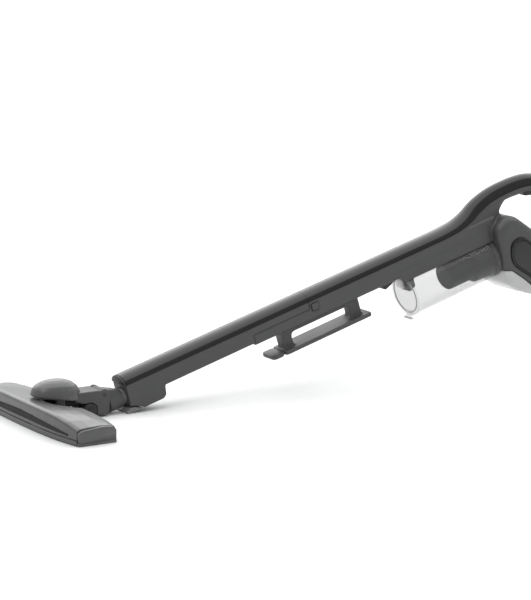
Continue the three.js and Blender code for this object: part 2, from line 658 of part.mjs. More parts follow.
function handShell() {
  const trough = cut(
    alongX(wallSection(SPINE.half, -13.2, -BODY.depth, BODY.corner), TUBE.lap + GAP, BODY.seam + 1),
    alongX(wallSection(20.5, 10, -26.6, 4), TUBE.lap - 5, BODY.seam),
  );
  const spine = alongX(wallSection(SPINE.half, -0.15, -BODY.depth, BODY.corner), BODY.seam, BODY.end);
  const saddle = across(rounded([[545, -20], [548, -45, 3], [746, -46], [746, -20]]), 23.4, 1);
  const arm = alongHandle(0, HANDLE_END, (t) => arc(0, -0.15, capHalf(t), gripDepth(t), 180, 360, 10));
  const outer = cut(
    join(trough, spine, saddle, arm, gusset(), podSolid(0)),
    rodX(535, 747, CUP.v, CUP.r + 0.8, 36),
    alongX(box2(-60, 60, -130, -46), 500, POD.front - 0.3),
    capSpace(),
  );
  const hollow = join(
    across(rounded([[400, -3], [400, -30], [735, -30], [735, -3]]), 19.5, 2),
    across(POD_OUTLINE(-POD.wall - 1), POD.half - POD.wall, POD.round - 2, 2),
    rodX(740, 760, CUP.v, 27),
  );
  const socket = alongX(box2(-19.9, 19.9, -25.9, -2.1, 4), BODY.seam - 1, 405);
  return cut(
    cut(outer, hollow, socket, exhaustRegion(-GAP)),
    ventPocket(),
    ...ventSlots(),
    cupButtonSpace(),
    triggerSpace(),
    tubeButtonSpace(),
    rodX(860, 890, GLAND_V, 6.3),
    rodZ(INLET.u, -60, -25, INLET.r),
    across(box2(823.5, 842.5, 13.5, 22.5), 6.3),
  );
}

// The web between the arm and the pod at the front of the loop; it draws in towards its sides.
function gusset() {
  const half = 18.4;
  const sections = [-1, -0.93, -0.8, -0.55, 0, 0.55, 0.8, 0.93, 1].map((place) => {
    const draw = 8 * (1 - Math.sqrt(1 - place * place));
    const outline = rounded([
      [690 + draw, -10], [700 + draw, 3 - draw / 2], [735, 13 - draw / 2], [776, 20],
      [804 - 2 * draw, 27 - 13 * Math.sqrt(1 - place * place)], [779 - draw / 2, 3, 9],
      [792 - draw, -18], [752, -30],
    ], 4);
    return { outline, place: (p) => new THREE.Vector3(p.x, half * place, p.y) };
  });
  return loft(sections);
}

const capSpace = () => join(
  alongHandle(0, HANDLE_END, (t) => arc(0, -0.15, capHalf(t) + 0.5, capHeight(t) + 0.5, 0, 180, 10)),
  alongX(domeFull(SPINE.half + 0.5, SPINE.dome + 0.5, -0.15), BODY.seam - 3, 641),
);

const ventPocket = () => alongY(rounded(VENT, 5), -POD.half - 4, -POD.half + 2);

function ventSlots() {
  const slots = [];
  for (let i = 0; i < 5; i += 1) {
    const u = 776 + i * 13;
    const v = -72 - i * 12;
    slots.push(alongY(box2(u, u + 4, v - 13, v + 11), -POD.half, -POD.half + 8));
  }
  return slots;
}

const ventCover = () => alongY(
  rounded(shrunk(VENT, VENT_RING - 0.015), 5), -POD.half - 0.8, -POD.half + 1.7, 1,
);
const ventRing = () => cut(
  alongY(rounded(shrunk(VENT, 0.985), 5), -POD.half - 1.4, -POD.half + 1.7, 0.8),
  alongY(rounded(shrunk(VENT, VENT_RING), 5), -POD.half - 9, -POD.half + 9),
);

// The button's underside rises towards the cup, to clear the cup lid as it swings down.
const CUP_BUTTON = { front: 514, rear: 541, half: 13, top: -28, bottom: -45, heel: -34.6 };
const TRIGGER = { front: 846, rear: 872, half: 9, top: 16, bottom: 6, heel: -1 };

const cupButtonSpace = () => across(
  box2(CUP_BUTTON.front - GAP, CUP_BUTTON.rear + 1.6, CUP_BUTTON.bottom - 5, CUP_BUTTON.top + 4.6),
  CUP_BUTTON.half + GAP,
);
const triggerSpace = () => across(
  box2(TRIGGER.front - GAP, TRIGGER.rear + GAP, TRIGGER.heel - 8, TRIGGER.top + 4.6), TRIGGER.half + GAP,
);
const tubeButtonSpace = () => alongY(
  box2(TUBE_BUTTON.front - GAP, TUBE_BUTTON.rear + GAP, TUBE_BUTTON.bottom - GAP, TUBE_BUTTON.top + GAP),
  -SPINE.half - 5, -SPINE.half + 5,
);

function makeControls() {
  onStick('cup_release_button', across(rounded([
    [CUP_BUTTON.front, CUP_BUTTON.top], [CUP_BUTTON.front, CUP_BUTTON.bottom, 4],
    [CUP_BUTTON.rear, CUP_BUTTON.heel, 3],
    [CUP_BUTTON.rear, CUP_BUTTON.top],
  ]), CUP_BUTTON.half, 2), DARK);
  onStick('power_trigger', across(rounded([
    [TRIGGER.front, TRIGGER.top], [TRIGGER.front, TRIGGER.bottom, 3], [TRIGGER.rear, TRIGGER.heel, 4],
    [TRIGGER.rear, TRIGGER.top],
  ]), TRIGGER.half, 2), DARK);
  const tubeButton = alongY(
    box2(TUBE_BUTTON.front, TUBE_BUTTON.rear, TUBE_BUTTON.bottom, TUBE_BUTTON.top, 2),
    -SPINE.half - TUBE_BUTTON.proud, -SPINE.half + 2, 0.6,
  );
  onStick('tube_release_button_left', tubeButton, DARK);
  onStick('tube_release_button_right', mirrored(tubeButton), DARK);
  onStick('switch_body', across(box2(824, 842, 14, 22, 1), 6), DARK);
}

function makeExhaust() {
  const lower = common(podSolid(0), exhaustRegion(GAP));
  const inner = across(POD_OUTLINE(-POD.wall), POD.half - POD.wall, POD.round - 2, 2);
  onStick('exhaust_cover', cut(lower, inner), SMOKE);
  onStick('exhaust_filter', common(across(rounded([
    [758, -112, 3], [776, -126], [793, -150, 3], [784, -158, 3], [764, -140], [752, -122, 3],
  ]), 32), across(POD_OUTLINE(-POD.wall - GAP), 40)), PAPER);
}

function makeMotor() {
  onStick('motor_can', turned([
    [MOTOR.front, 6], [MOTOR.front, MOTOR.r], [MOTOR.rear - 8, MOTOR.r], [MOTOR.rear, 20], [MOTOR.rear, 6],
  ], CUP.v, 28), STEEL);
  onStick('motor_mount', tubeX(MOTOR.front + 8, MOTOR.front + 18, CUP.v, MOTOR.r + 4, MOTOR.r + GAP),
    RUBBER);
  onStick('motor_shaft', rodX(754, MOTOR.rear + 3, CUP.v, 3, 16), STEEL);
  onStick('impeller', impeller(), GREY);
  onStick('circuit_board', across(box2(600, 660, -14, -12), 14), BOARD);
  onStick('cord_gland', turned([[881, 3.4], [862, 3.4], [862, 6], [881, 6], [886, 8], [892, 5], [892, 3.4]],
    GLAND_V, 20), RUBBER);
}

function impeller() {
  const blades = [];
  const count = 7;
  for (let i = 0; i < count; i += 1) {
    const blade = new THREE.BoxGeometry(6, 20, 1.6).translate(0, 14, 3);
    blade.rotateX((2 * Math.PI * i) / count).translate(759, 0, CUP.v);
    blades.push(blade);
  }
  const disc = tubeX(761, 763, CUP.v, 25, 3.1, 28);
  const hub = tubeX(755, 763, CUP.v, 6, 3.1, 20);
  return cut(join(disc, hub, ...blades), rodX(750, 770, CUP.v, 3.08, 20));
}

function makeWinder() {
  const outline = rounded([
    [WINDER.left, -BODY.depth - GAP - 0.2], [WINDER.left + 1, WINDER.plateTop, 5],
    [WINDER.plateLeft, WINDER.plateTop],
    [WINDER.plateLeft, WINDER.plateBottom], [WINDER.plateRight, WINDER.plateBottom],
    [WINDER.plateRight, WINDER.plateTop], [WINDER.right + 1, WINDER.plateTop, 5],
    [WINDER.right, -BODY.depth - GAP - 0.2],
  ]);
  const opening = rounded([
    [WINDER.left + WINDER.leg, WINDER.railBottom, 8], [WINDER.right - WINDER.leg, WINDER.railBottom, 8],
    [WINDER.right - WINDER.leg, WINDER.plateTop, 8], [WINDER.left + WINDER.leg, WINDER.plateTop, 8],
  ]);
  const frame = cut(across(outline, WINDER.legHalf), across(opening, 30));
  const plate = upwards(box2(WINDER.plateLeft, WINDER.plateRight, -WINDER.plateHalf, WINDER.plateHalf, 5),
    WINDER.plateBottom, WINDER.plateTop, 1.2);
  const screws = [['front', WINDER.left + WINDER.leg / 2], ['rear', WINDER.right - WINDER.leg / 2]];
  const holes = screws.map(([, u]) => rodZ(u, -80, -20, 2.4));
  onStick('cord_winder', cut(join(frame, plate), ...holes), MATTE);
  screws.forEach(([name, u]) => {
    onStick(`winder_screw_${name}`, rodZ(u, WINDER.plateBottom + 1, -BODY.depth - 1, 2.1), STEEL);
  });
  onStick('cord_hook', upwards(box2(267, WINDER.plateLeft - 0.8, -20, 20, 8), WINDER.plateBottom,
    WINDER.plateTop, 1.5), MATTE);
}

const rodZ = (x, z0, z1, radius) => new THREE.CylinderGeometry(radius, radius, z1 - z0, 16)
  .rotateX(Math.PI / 2).translate(x, 0, (z0 + z1) / 2);

// -------------------------------------------------------------------------------------------------- dust cup
const LID_PIVOT = { u: CUP.front - 4.5, v: CUP.v - CUP.r - 3.4 };
const INLET = { u: 570, r: 6, front: 562, rear: 578, top: -39.4, bottom: -69, half: 11.5 };

function makeCup() {
  onStick('dust_cup', cut(
    join(rodX(CUP.front, CUP.rear, CUP.v, CUP.r, 36), cupHingeEars()),
    rodX(CUP.front - 2, CUP.rear + 2, CUP.v, CUP.r - CUP.wall, 36),
    rodY(LID_PIVOT.u, LID_PIVOT.v, -20, 20, 1.55),
    rodZ(INLET.u, -50, -30, INLET.r),
  ), CLEAR);
  onStick('inlet_duct', cut(
    across(rounded([
      [INLET.front, INLET.top], [INLET.front, INLET.bottom, 5], [INLET.rear, INLET.bottom + 8, 3],
      [INLET.rear, INLET.top],
    ]), INLET.half, 2),
    rodZ(INLET.u, INLET.bottom + 12, -30, INLET.r),
    across(box2(INLET.u, INLET.rear + 4, INLET.bottom + 12, -46), 5),
  ), DARK);
  onStick('cup_rim', tubeX(CUP.rear - 8, CUP.rear - GAP, CUP.v, CUP.r - CUP.wall - GAP, 33, 32), DARK);
  onStick('filter_cage', turned([
    [FILTER.front, 0.01], [FILTER.front, FILTER.r - 2], [FILTER.front + 2, FILTER.r],
    [FILTER.rear - 30, FILTER.r], [FILTER.rear - 26, 31], [FILTER.rear + 8, 32.4],
    [FILTER.rear + 17, 32.4], [FILTER.rear + 17, 30], [FILTER.rear - 20, 28.6],
    [FILTER.rear - 26, FILTER.r - 2.2], [FILTER.front + 3, FILTER.r - 2.2],
    [FILTER.front + 3, 0.01],
  ], CUP.v, 28), DARK);
  onStick('hepa_filter', pleatedFilter(), PAPER);
  onStick('cup_lid', cut(
    join(rodX(CUP.front - 4, CUP.front - GAP, CUP.v, CUP.r, 36), lidHingeLug()),
    rodX(CUP.front - 2, CUP.front + 2, CUP.v, CUP.r - 5, 36),
    rodY(LID_PIVOT.u, LID_PIVOT.v, -20, 20, 1.55),
    across(box2(CUP.front - 8, CUP.front + 2, -46, -30), 6.4),
  ), CLEAR);
  onStick('lid_seal', tubeX(CUP.front - 1.6, CUP.front - 0.2, CUP.v, CUP.r - 5.4, CUP.r - 7.6, 32), RUBBER);
  onStick('lid_pin', rodY(LID_PIVOT.u, LID_PIVOT.v, -11, 11, 1.5, 16), STEEL);
  onStick('lid_latch', lidLatch(), DARK);
}

function lidLatch() {
  return across(rounded([
    [CUP.front - 9, -40, 2], [CUP.front - 9, -56, 2.5], [CUP.front - 4.4, -58], [CUP.front - 4.4, -38],
  ]), 9, 1.2);
}

const LUG = { half: 3, round: 2.5, lidHalf: 5.7, earInner: 6, earOuter: 11 };

const lidHingeLug = () => across(rounded([
  [LID_PIVOT.u - LUG.half, LID_PIVOT.v - LUG.half, LUG.round],
  [LID_PIVOT.u + LUG.half, LID_PIVOT.v - LUG.half, LUG.round],
  [LID_PIVOT.u + LUG.half, LID_PIVOT.v + 6], [LID_PIVOT.u + 0.8, LID_PIVOT.v + 6],
  [LID_PIVOT.u - LUG.half, LID_PIVOT.v + 4],
]), LUG.lidHalf);

function cupHingeEars() {
  const wallBottom = CUP.v - CUP.r + 0.9;
  const outline = rounded([
    [LID_PIVOT.u - LUG.half, LID_PIVOT.v - LUG.half, LUG.round], [LID_PIVOT.u + 5, LID_PIVOT.v - LUG.half, 3],
    [CUP.front + 16, wallBottom], [CUP.front + GAP, wallBottom], [CUP.front, LID_PIVOT.v + 2.4],
    [LID_PIVOT.u - LUG.half, LID_PIVOT.v + 2.4, 2],
  ]);
  return join(alongY(outline, LUG.earInner, LUG.earOuter), alongY(outline, -LUG.earOuter, -LUG.earInner));
}

function pleatedFilter() {
  const points = [];
  const pleats = 18;
  for (let i = 0; i < pleats * 2; i += 1) {
    const radius = i % 2 === 0 ? FILTER.r - 3.2 : FILTER.r - 8;
    const angle = (Math.PI * i) / pleats;
    points.push(point(radius * Math.cos(angle), radius * Math.sin(angle)));
  }
  const pleated = alongX(points, FILTER.front + 6, FILTER.rear - 28).translate(0, 0, CUP.v);
  return cut(pleated, rodX(FILTER.front + 12, FILTER.rear, CUP.v, FILTER.r - 12));
}

makeHead();
makeNeck();
makeKnuckle();
makeTube();
makeHandUnit();
makeControls();
makeExhaust();
makeMotor();
makeWinder();
makeCup();

export default vacuum;
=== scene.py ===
"""Looks for a slim stick vacuum cleaner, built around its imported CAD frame. Metres, in the frame's axes."""
import json
import math

import bmesh
import bpy
import numpy as np
from mathutils import Euler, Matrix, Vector


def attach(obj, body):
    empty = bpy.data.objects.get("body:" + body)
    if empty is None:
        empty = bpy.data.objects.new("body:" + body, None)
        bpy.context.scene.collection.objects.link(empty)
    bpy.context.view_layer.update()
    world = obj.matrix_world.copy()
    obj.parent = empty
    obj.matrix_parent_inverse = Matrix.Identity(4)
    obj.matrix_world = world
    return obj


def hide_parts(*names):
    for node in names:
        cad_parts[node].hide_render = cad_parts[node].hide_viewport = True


MM = 0.001

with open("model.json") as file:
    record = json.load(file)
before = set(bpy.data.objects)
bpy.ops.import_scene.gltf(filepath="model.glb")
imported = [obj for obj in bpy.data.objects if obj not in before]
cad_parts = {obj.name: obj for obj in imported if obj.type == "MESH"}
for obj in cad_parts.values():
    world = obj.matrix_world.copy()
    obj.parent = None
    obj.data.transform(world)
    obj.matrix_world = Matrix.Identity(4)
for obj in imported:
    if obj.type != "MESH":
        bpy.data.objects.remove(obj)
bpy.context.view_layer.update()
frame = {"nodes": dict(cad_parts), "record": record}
nodes = frame["nodes"]
bodies = frame["record"]["behaviour"]["bodies"]
body_of_node = {node: body for body, group in bodies.items() for node in group}
slot_of_node = {part["node"]: part["material_slot"] for part in frame["record"]["subparts"]}

# ---------------------------------------------------------------------------------------- the stick's frame
# u runs up the tube, v is square to it; the seam between the domed caps and the side walls is at v = 0.
STICK_ORIGIN = Vector((0.1393, 0, 0.05))
STICK_ANGLE = math.radians(16.68)
U = Vector((math.cos(STICK_ANGLE), 0, math.sin(STICK_ANGLE)))
V = Vector((-math.sin(STICK_ANGLE), 0, math.cos(STICK_ANGLE)))
Y = Vector((0, 1, 0))


def stick(u, v, y=0.0):
    """A point of the stick's frame, given in millimetres."""
    return STICK_ORIGIN + (float(u) * U + float(v) * V + float(y) * Y) * MM


# ---------------------------------------------------------------------------------------- camera and lights
CAMERA_PLACE = Vector((-1.7131, -3.3177, 0.9242))
CAMERA_TURN = math.radians(32.6)
CAMERA_DIP = math.radians(11.0)
CAMERA_ROLL = math.radians(0.8)
CAMERA_LENS = 144.0
SENSOR = 36.0
CLIP = (0.1, 40.0)


def make_camera():
    data = bpy.data.cameras.new("camera")
    camera = bpy.data.objects.new("camera", data)
    bpy.context.scene.collection.objects.link(camera)
    data.sensor_fit = "VERTICAL"
    data.sensor_height = SENSOR
    data.sensor_width = SENSOR
    data.lens = CAMERA_LENS
    data.clip_start, data.clip_end = CLIP
    camera.location = CAMERA_PLACE
    level = Euler((math.pi / 2 - CAMERA_DIP, 0.0, -CAMERA_TURN), "XYZ").to_matrix()
    roll = Euler((0.0, 0.0, CAMERA_ROLL), "XYZ").to_matrix()
    camera.rotation_euler = (level @ roll).to_euler()
    bpy.context.scene.camera = camera


def area_light(name, place, target, size, power):
    data = bpy.data.lights.new(name, "AREA")
    data.shape = "RECTANGLE"
    data.size, data.size_y = size
    data.energy = power
    light = bpy.data.objects.new(name, data)
    bpy.context.scene.collection.objects.link(light)
    light.location = place
    light.rotation_euler = (Vector(target) - Vector(place)).to_track_quat("-Z", "Y").to_euler()


# Each light: its place, what it points at, its size, and its power in watts.
LIGHTS = {
    "canopy": ((2.6, 5.5, 3.2), (2.6, 5.5, 0.0), (9.0, 14.0), 800),
    "key": ((-1.6, -1.2, 2.2), (0.5, 0.0, 0.15), (0.9, 0.9), 9),
}
SKY_COLOUR = (0.93, 0.94, 0.95, 1.0)
SKY_STRENGTH = 0.8


def make_studio():
    """A wide overhead panel behind the object, a small soft key in front of it, and an even pale world."""
    for name, settings in LIGHTS.items():
        area_light(name, *settings)
    world = bpy.data.worlds.new("studio")
    bpy.context.scene.world = world
    world.use_nodes = True
    background = world.node_tree.nodes["Background"]
    background.inputs["Color"].default_value = SKY_COLOUR
    background.inputs["Strength"].default_value = SKY_STRENGTH
    bpy.context.scene.view_settings.view_transform = "Standard"


FLOOR_REACH = 60.0
FLOOR_RINGS = 12
FLOOR_STEPS = 48
FLOOR_GREY = 0.67


def make_floor():
    """A pale disc that fills the front camera's picture. From low side views its horizon shows."""
    rings, around = FLOOR_RINGS, FLOOR_STEPS
    mesh = bpy.data.meshes.new("floor")
    points = [Vector((0, 0, 0))]
    for ring in range(1, rings + 1):
        radius = FLOOR_REACH * (ring / rings) ** 2
        for step in range(around):
            angle = 2 * math.pi * step / around
            points.append(Vector((radius * math.cos(angle), radius * math.sin(angle), 0)))
    faces = [(0, 1 + step, 1 + (step + 1) % around) for step in range(around)]
    for ring in range(rings - 1):
        start = 1 + ring * around
        for step in range(around):
            after = (step + 1) % around
            faces.append((start + step, start + around + step, start + around + after, start + after))
    mesh.from_pydata(points, [], faces)
    floor = bpy.data.objects.new("floor", mesh)
    bpy.context.scene.collection.objects.link(floor)
    paint = Paint("floor_paper")
    grain = paint.noise(scale=60, detail=4)
    paint.link(paint.ramp(grain, FLOOR_GREY - 0.01, FLOOR_GREY + 0.01), paint.principled.inputs["Base Color"])
    paint.set(Roughness=0.95)
    mesh.materials.append(paint.material)


# ------------------------------------------------------------------------------------------------- materials
class Paint:
    """A node material with short names for the few nodes that the finishes below share."""

    def __init__(self, name):
        self.material = bpy.data.materials.new(name)
        self.material.use_nodes = True
        self.tree = self.material.node_tree
        self.principled = self.tree.nodes["Principled BSDF"]
        self.coordinates = self.tree.nodes.new("ShaderNodeTexCoord").outputs["Object"]

    def link(self, output, socket):
        self.tree.links.new(output, socket)

    def stretched(self, scale):
        mapping = self.tree.nodes.new("ShaderNodeMapping")
        mapping.inputs["Scale"].default_value = scale
        self.link(self.coordinates, mapping.inputs["Vector"])
        return mapping.outputs["Vector"]

    def noise(self, scale, detail=2.0, roughness=0.5, vector=None):
        node = self.tree.nodes.new("ShaderNodeTexNoise")
        node.inputs["Scale"].default_value = scale
        node.inputs["Detail"].default_value = detail
        node.inputs["Roughness"].default_value = roughness
        self.link(vector or self.coordinates, node.inputs["Vector"])
        return node.outputs["Fac"]

    def cells(self, scale, feature="F1"):
        node = self.tree.nodes.new("ShaderNodeTexVoronoi")
        node.feature = feature
        node.inputs["Scale"].default_value = scale
        self.link(self.coordinates, node.inputs["Vector"])
        return node.outputs["Distance"]

    def ramp(self, factor, low, high, start=0.3, end=0.7):
        node = self.tree.nodes.new("ShaderNodeValToRGB")
        first, last = node.color_ramp.elements
        first.position, last.position = start, end
        first.color = (*low, 1.0) if isinstance(low, tuple) else (low, low, low, 1.0)
        last.color = (*high, 1.0) if isinstance(high, tuple) else (high, high, high, 1.0)
        self.link(factor, node.inputs["Fac"])
        return node.outputs["Color"]

    def bump(self, height, strength, distance):
        node = self.tree.nodes.new("ShaderNodeBump")
        node.inputs["Strength"].default_value = strength
        node.inputs["Distance"].default_value = distance
        self.link(height, node.inputs["Height"])
        return node.outputs["Normal"]

    def set(self, **sockets):
        for name, value in sockets.items():
            self.principled.inputs[name.replace("_", " ")].default_value = value


def grey(level, spread):
    """Two nearly equal greys either side of a level, for a faint variation in colour."""
    return (level * (1 - spread),) * 3, (level * (1 + spread),) * 3


def moulded(name, level, rough, grain, depth, coat=0.0):
    """Injection-moulded plastic: a spark-eroded grain in bump, faint colour and gloss variation."""
    paint = Paint(name)
    broad = paint.noise(scale=22, detail=3)
    fine = paint.noise(scale=grain, detail=2)
    low, high = grey(level, 0.08)
    paint.link(paint.ramp(broad, low, high), paint.principled.inputs["Base Color"])
    paint.link(paint.ramp(broad, rough * 0.9, rough * 1.1), paint.principled.inputs["Roughness"])
    paint.link(paint.bump(fine, 0.35, depth), paint.principled.inputs["Normal"])
    paint.set(Coat_Weight=coat, Coat_Roughness=0.12)
    return paint.material


def polished(name, level, rough):
    """Piano-black plastic with faint handling haze and hairline scratches."""
    paint = Paint(name)
    haze = paint.noise(scale=14, detail=5, roughness=0.6)
    hairs = paint.noise(scale=260, detail=1, vector=paint.stretched((0.06, 1.0, 1.0)))
    low, high = grey(level, 0.1)
    paint.link(paint.ramp(haze, low, high), paint.principled.inputs["Base Color"])
    paint.link(paint.ramp(haze, rough * 0.8, rough * 1.35), paint.principled.inputs["Roughness"])
    paint.link(paint.bump(hairs, 0.05, 0.00004), paint.principled.inputs["Normal"])
    paint.set(Specular_IOR_Level=0.36)
    return paint.material


def rubber(name, level):
    """Dull rubber with a fine tooth and a little dust."""
    paint = Paint(name)
    fine = paint.noise(scale=1600, detail=3)
    dust = paint.noise(scale=40, detail=4)
    low, high = grey(level, 0.2)
    paint.link(paint.ramp(dust, low, high), paint.principled.inputs["Base Color"])
    paint.link(paint.ramp(dust, 0.7, 0.88), paint.principled.inputs["Roughness"])
    paint.link(paint.bump(fine, 0.5, 0.00006), paint.principled.inputs["Normal"])
    return paint.material


def metal(name, level, rough):
    """Brushed steel."""
    paint = Paint(name)
    brushed = paint.noise(scale=900, detail=2, vector=paint.stretched((1.0, 0.05, 0.05)))
    low, high = grey(level, 0.06)
    paint.link(paint.ramp(brushed, low, high), paint.principled.inputs["Base Color"])
    paint.link(paint.ramp(brushed, rough * 0.8, rough * 1.2), paint.principled.inputs["Roughness"])
    paint.link(paint.bump(brushed, 0.2, 0.00003), paint.principled.inputs["Normal"])
    paint.set(Metallic=1.0)
    return paint.material


EDGE_ALPHA = 2.6                                     # how much denser clear plastic is where seen edge on


def clear(name, level, rough, alpha):
    """Clear plastic, seen through by its alpha so that the pieces inside stay sharp."""
    paint = Paint(name)
    ripple = paint.noise(scale=30, detail=2)
    facing = paint.tree.nodes.new("ShaderNodeLayerWeight")
    facing.inputs["Blend"].default_value = 0.3
    low, high = grey(level, 0.03)
    paint.link(paint.ramp(ripple, low, high), paint.principled.inputs["Base Color"])
    paint.link(paint.ramp(ripple, rough, rough * 1.6), paint.principled.inputs["Roughness"])
    paint.link(paint.bump(ripple, 0.06, 0.0004), paint.principled.inputs["Normal"])
    paint.link(
        paint.ramp(facing.outputs["Facing"], alpha, min(alpha * EDGE_ALPHA, 1.0), 0.15, 0.95),
        paint.principled.inputs["Alpha"],
    )
    paint.set(Coat_Weight=0.2, Coat_Roughness=0.03)
    return paint.material


def frosted(name, level, alpha):
    """Milky plastic that lets a little of what is behind it through."""
    paint = Paint(name)
    grain = paint.noise(scale=700, detail=3)
    cloud = paint.noise(scale=25, detail=3)
    low, high = grey(level, 0.06)
    paint.link(paint.ramp(cloud, low, high), paint.principled.inputs["Base Color"])
    paint.link(paint.ramp(cloud, 0.25, 0.38), paint.principled.inputs["Roughness"])
    paint.link(paint.bump(grain, 0.2, 0.00005), paint.principled.inputs["Normal"])
    paint.set(Alpha=alpha, Coat_Weight=0.5, Coat_Roughness=0.08)
    return paint.material


def paper(name, level):
    """Off-white filter paper with a fibre in bump."""
    paint = Paint(name)
    fibre = paint.noise(scale=900, detail=6, vector=paint.stretched((0.3, 1.0, 1.0)))
    low, high = (level * 0.9, level * 0.87, level * 0.8), (level, level * 0.98, level * 0.92)
    paint.link(paint.ramp(fibre, low, high), paint.principled.inputs["Base Color"])
    paint.link(paint.bump(fibre, 0.6, 0.0001), paint.principled.inputs["Normal"])
    paint.set(Roughness=0.95)
    return paint.material


def mesh_cage(name, level):
    """The filter cage's fine punched mesh, as a faint pattern in colour: its holes are darker dots of painted
    shade.
    """
    paint = Paint(name)
    # Painted shade: the darker dot at each cell's centre stands for the shaded inside seen through a hole.
    hole_shade = paint.cells(scale=1100)
    low, high = grey(level, 0.12)
    paint.link(paint.ramp(hole_shade, low, high, 0.2, 0.5), paint.principled.inputs["Base Color"])
    paint.set(Roughness=0.75)
    return paint.material


def board(name):
    """A green circuit board with tracks."""
    paint = Paint(name)
    tracks = paint.cells(scale=260, feature="DISTANCE_TO_EDGE")
    paint.link(
        paint.ramp(tracks, (0.08, 0.2, 0.1), (0.02, 0.1, 0.045), 0.02, 0.08),
        paint.principled.inputs["Base Color"],
    )
    paint.link(paint.bump(tracks, 0.3, 0.00005), paint.principled.inputs["Normal"])
    paint.set(Roughness=0.4)
    return paint.material


def bristle(name):
    """Black bristles, as upright streaks."""
    paint = Paint(name)
    hairs = paint.noise(scale=1400, detail=2, vector=paint.stretched((1.0, 1.0, 0.04)))
    paint.link(paint.ramp(hairs, 0.012, 0.06), paint.principled.inputs["Base Color"])
    paint.link(paint.bump(hairs, 0.9, 0.0004), paint.principled.inputs["Normal"])
    paint.set(Roughness=0.75)
    return paint.material


def make_materials():
    return {
        "gloss_black": polished("gloss_black", 0.005, 0.17),
        "body_grey": moulded("body_grey", 0.048, 0.5, 1500, 0.00005),
        "head_satin": moulded("head_satin", 0.065, 0.36, 1100, 0.00003, coat=0.12),
        "trim_dark": moulded("trim_dark", 0.016, 0.5, 1500, 0.00004),
        "button_grey": moulded("button_grey", 0.13, 0.42, 1200, 0.00004),
        "rubber_black": rubber("rubber_black", 0.014),
        "tyre_black": rubber("tyre_black", 0.02),
        "clear_cup": clear("clear_cup", 0.2, 0.05, 0.15),
        "frosted_cover": frosted("frosted_cover", 0.5, 0.8),
        "steel_bright": metal("steel_bright", 0.55, 0.3),
        "steel_dark": metal("steel_dark", 0.06, 0.4),
        "filter_white": paper("filter_white", 0.8),
        "filter_dark": mesh_cage("filter_dark", 0.010),
        "board_green": board("board_green"),
        "bristle_black": bristle("bristle_black"),
    }


# ---------------------------------------------------------------------------------------------------- pieces
SHARP_ANGLE = math.radians(28)                       # edges steeper than this stay crisp on the CAD pieces
SWEPT_SHARP_ANGLE = math.radians(50)                 # the same for the swept caps and the cut slot
WELD = 0.01 * MM


def piece(name, mesh, body, slot, *replaced):
    """One visible object that rides on a body and stands in for the CAD nodes it replaces."""
    obj = bpy.data.objects.new(name, mesh)
    bpy.context.scene.collection.objects.link(obj)
    mesh.materials.clear()
    mesh.materials.append(materials[slot])
    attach(obj, body)
    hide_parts(*replaced)


def joined_mesh(name, sources):
    """The CAD nodes' meshes as one mesh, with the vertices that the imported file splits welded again."""
    work = bmesh.new()
    for node in sources:
        work.from_mesh(nodes[node].data)
    bmesh.ops.remove_doubles(work, verts=work.verts, dist=WELD)
    mesh = bpy.data.meshes.new(name)
    work.to_mesh(mesh)
    work.free()
    return mesh


def evaluated(mesh, *modifiers):
    """The mesh after modifiers, each given as (type, {setting: value})."""
    holder = bpy.data.objects.new("holder", mesh)
    bpy.context.scene.collection.objects.link(holder)
    for kind, settings in modifiers:
        modifier = holder.modifiers.new(kind.lower(), kind)
        for name, value in settings.items():
            setattr(modifier, name, value)
    depsgraph = bpy.context.evaluated_depsgraph_get()
    result = bpy.data.meshes.new_from_object(holder.evaluated_get(depsgraph))
    bpy.data.objects.remove(holder)
    return result


def pocket(node, travel, gap=0.3):
    """A box in the stick's frame that holds a button in all of its travel."""
    spans = []
    for axis, reach in ((U, 0.0), (V, travel), (Y, 0.0)):
        places = [(vertex.co - STICK_ORIGIN).dot(axis) / MM for vertex in nodes[node].data.vertices]
        spans.append((min(places) - gap, max(places) + gap + reach))
    work = bmesh.new()
    bmesh.ops.create_cube(work, size=1.0)
    for vertex in work.verts:
        u, v, y = [span[int(place > 0)] for span, place in zip(spans, vertex.co)]
        vertex.co = stick(u, v, y)
    # (u, v, y) is a left-handed set of axes, so the cube has come out inside out.
    bmesh.ops.reverse_faces(work, faces=work.faces)
    mesh = bpy.data.meshes.new(node + "_pocket")
    work.to_mesh(mesh)
    work.free()
    box = bpy.data.objects.new(node + "_pocket", mesh)
    bpy.context.scene.collection.objects.link(box)
    return box


def softened(name, sources, voxel, passes):
    """A moulded piece: its CAD solids fused on a fine grid and smoothed, which rounds every edge a little."""
    grid = ("REMESH", {"mode": "VOXEL", "voxel_size": voxel * MM})
    relax = ("SMOOTH", {"factor": 0.5, "iterations": passes})
    mesh = evaluated(joined_mesh(name, sources), grid, relax)
    mesh.shade_smooth()
    if name in POCKETS:
        box = pocket(*POCKETS[name])
        mesh = evaluated(mesh, ("BOOLEAN", {"operation": "DIFFERENCE", "object": box, "solver": "EXACT"}))
        mesh.set_sharp_from_angle(angle=SWEPT_SHARP_ANGLE)
        bpy.data.objects.remove(box)
    piece(name, mesh, body_of_node[sources[0]], slot_of_node[sources[0]], *sources)


def eased(node, width=0.4):
    """A crisp piece: its CAD solid with small rounds on its edges and smooth shading on its curved faces."""
    bevel = ("BEVEL", {
        "width": width * MM, "segments": 2, "limit_method": "ANGLE",
        "angle_limit": SHARP_ANGLE, "use_clamp_overlap": True,
    })
    mesh = evaluated(joined_mesh(node + "_eased", [node]), bevel)
    mesh.shade_smooth()
    mesh.set_sharp_from_angle(angle=SHARP_ANGLE)
    piece(node + "_eased", mesh, body_of_node[node], slot_of_node[node], node)


